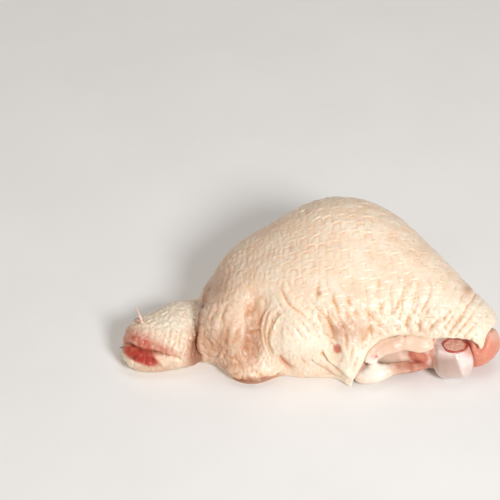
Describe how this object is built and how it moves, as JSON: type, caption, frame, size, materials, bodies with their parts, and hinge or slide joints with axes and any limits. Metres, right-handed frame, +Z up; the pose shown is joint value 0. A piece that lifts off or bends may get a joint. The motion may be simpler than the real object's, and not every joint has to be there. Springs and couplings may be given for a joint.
{
  "type": "raw chicken thigh",
  "caption": "Raw bone-in chicken thigh with wrinkled skin, its strip of back and its tail, lying skin side up, cut open at the knee to show flesh, fat and the bone end.",
  "frame": {"origin": "on the table under the middle of the piece's box", "axes": "+X from the tail to the knee, the longest way; -Y towards the side where the cut shows; +Z up, skin side up"},
  "size_m": [0.1712, 0.0898, 0.0547],
  "materials": {
    "skin": "moist, semi-gloss raw poultry skin with pores and wrinkles",
    "meat": "moist raw flesh",
    "fat": "moist soft fat",
    "bone": "smooth wet gristle over bone"
  },
  "bodies": {
    "root": {"skin": "skin", "meat": "meat", "fat": "fat", "femur": "bone"}
  },
  "joints": []
}
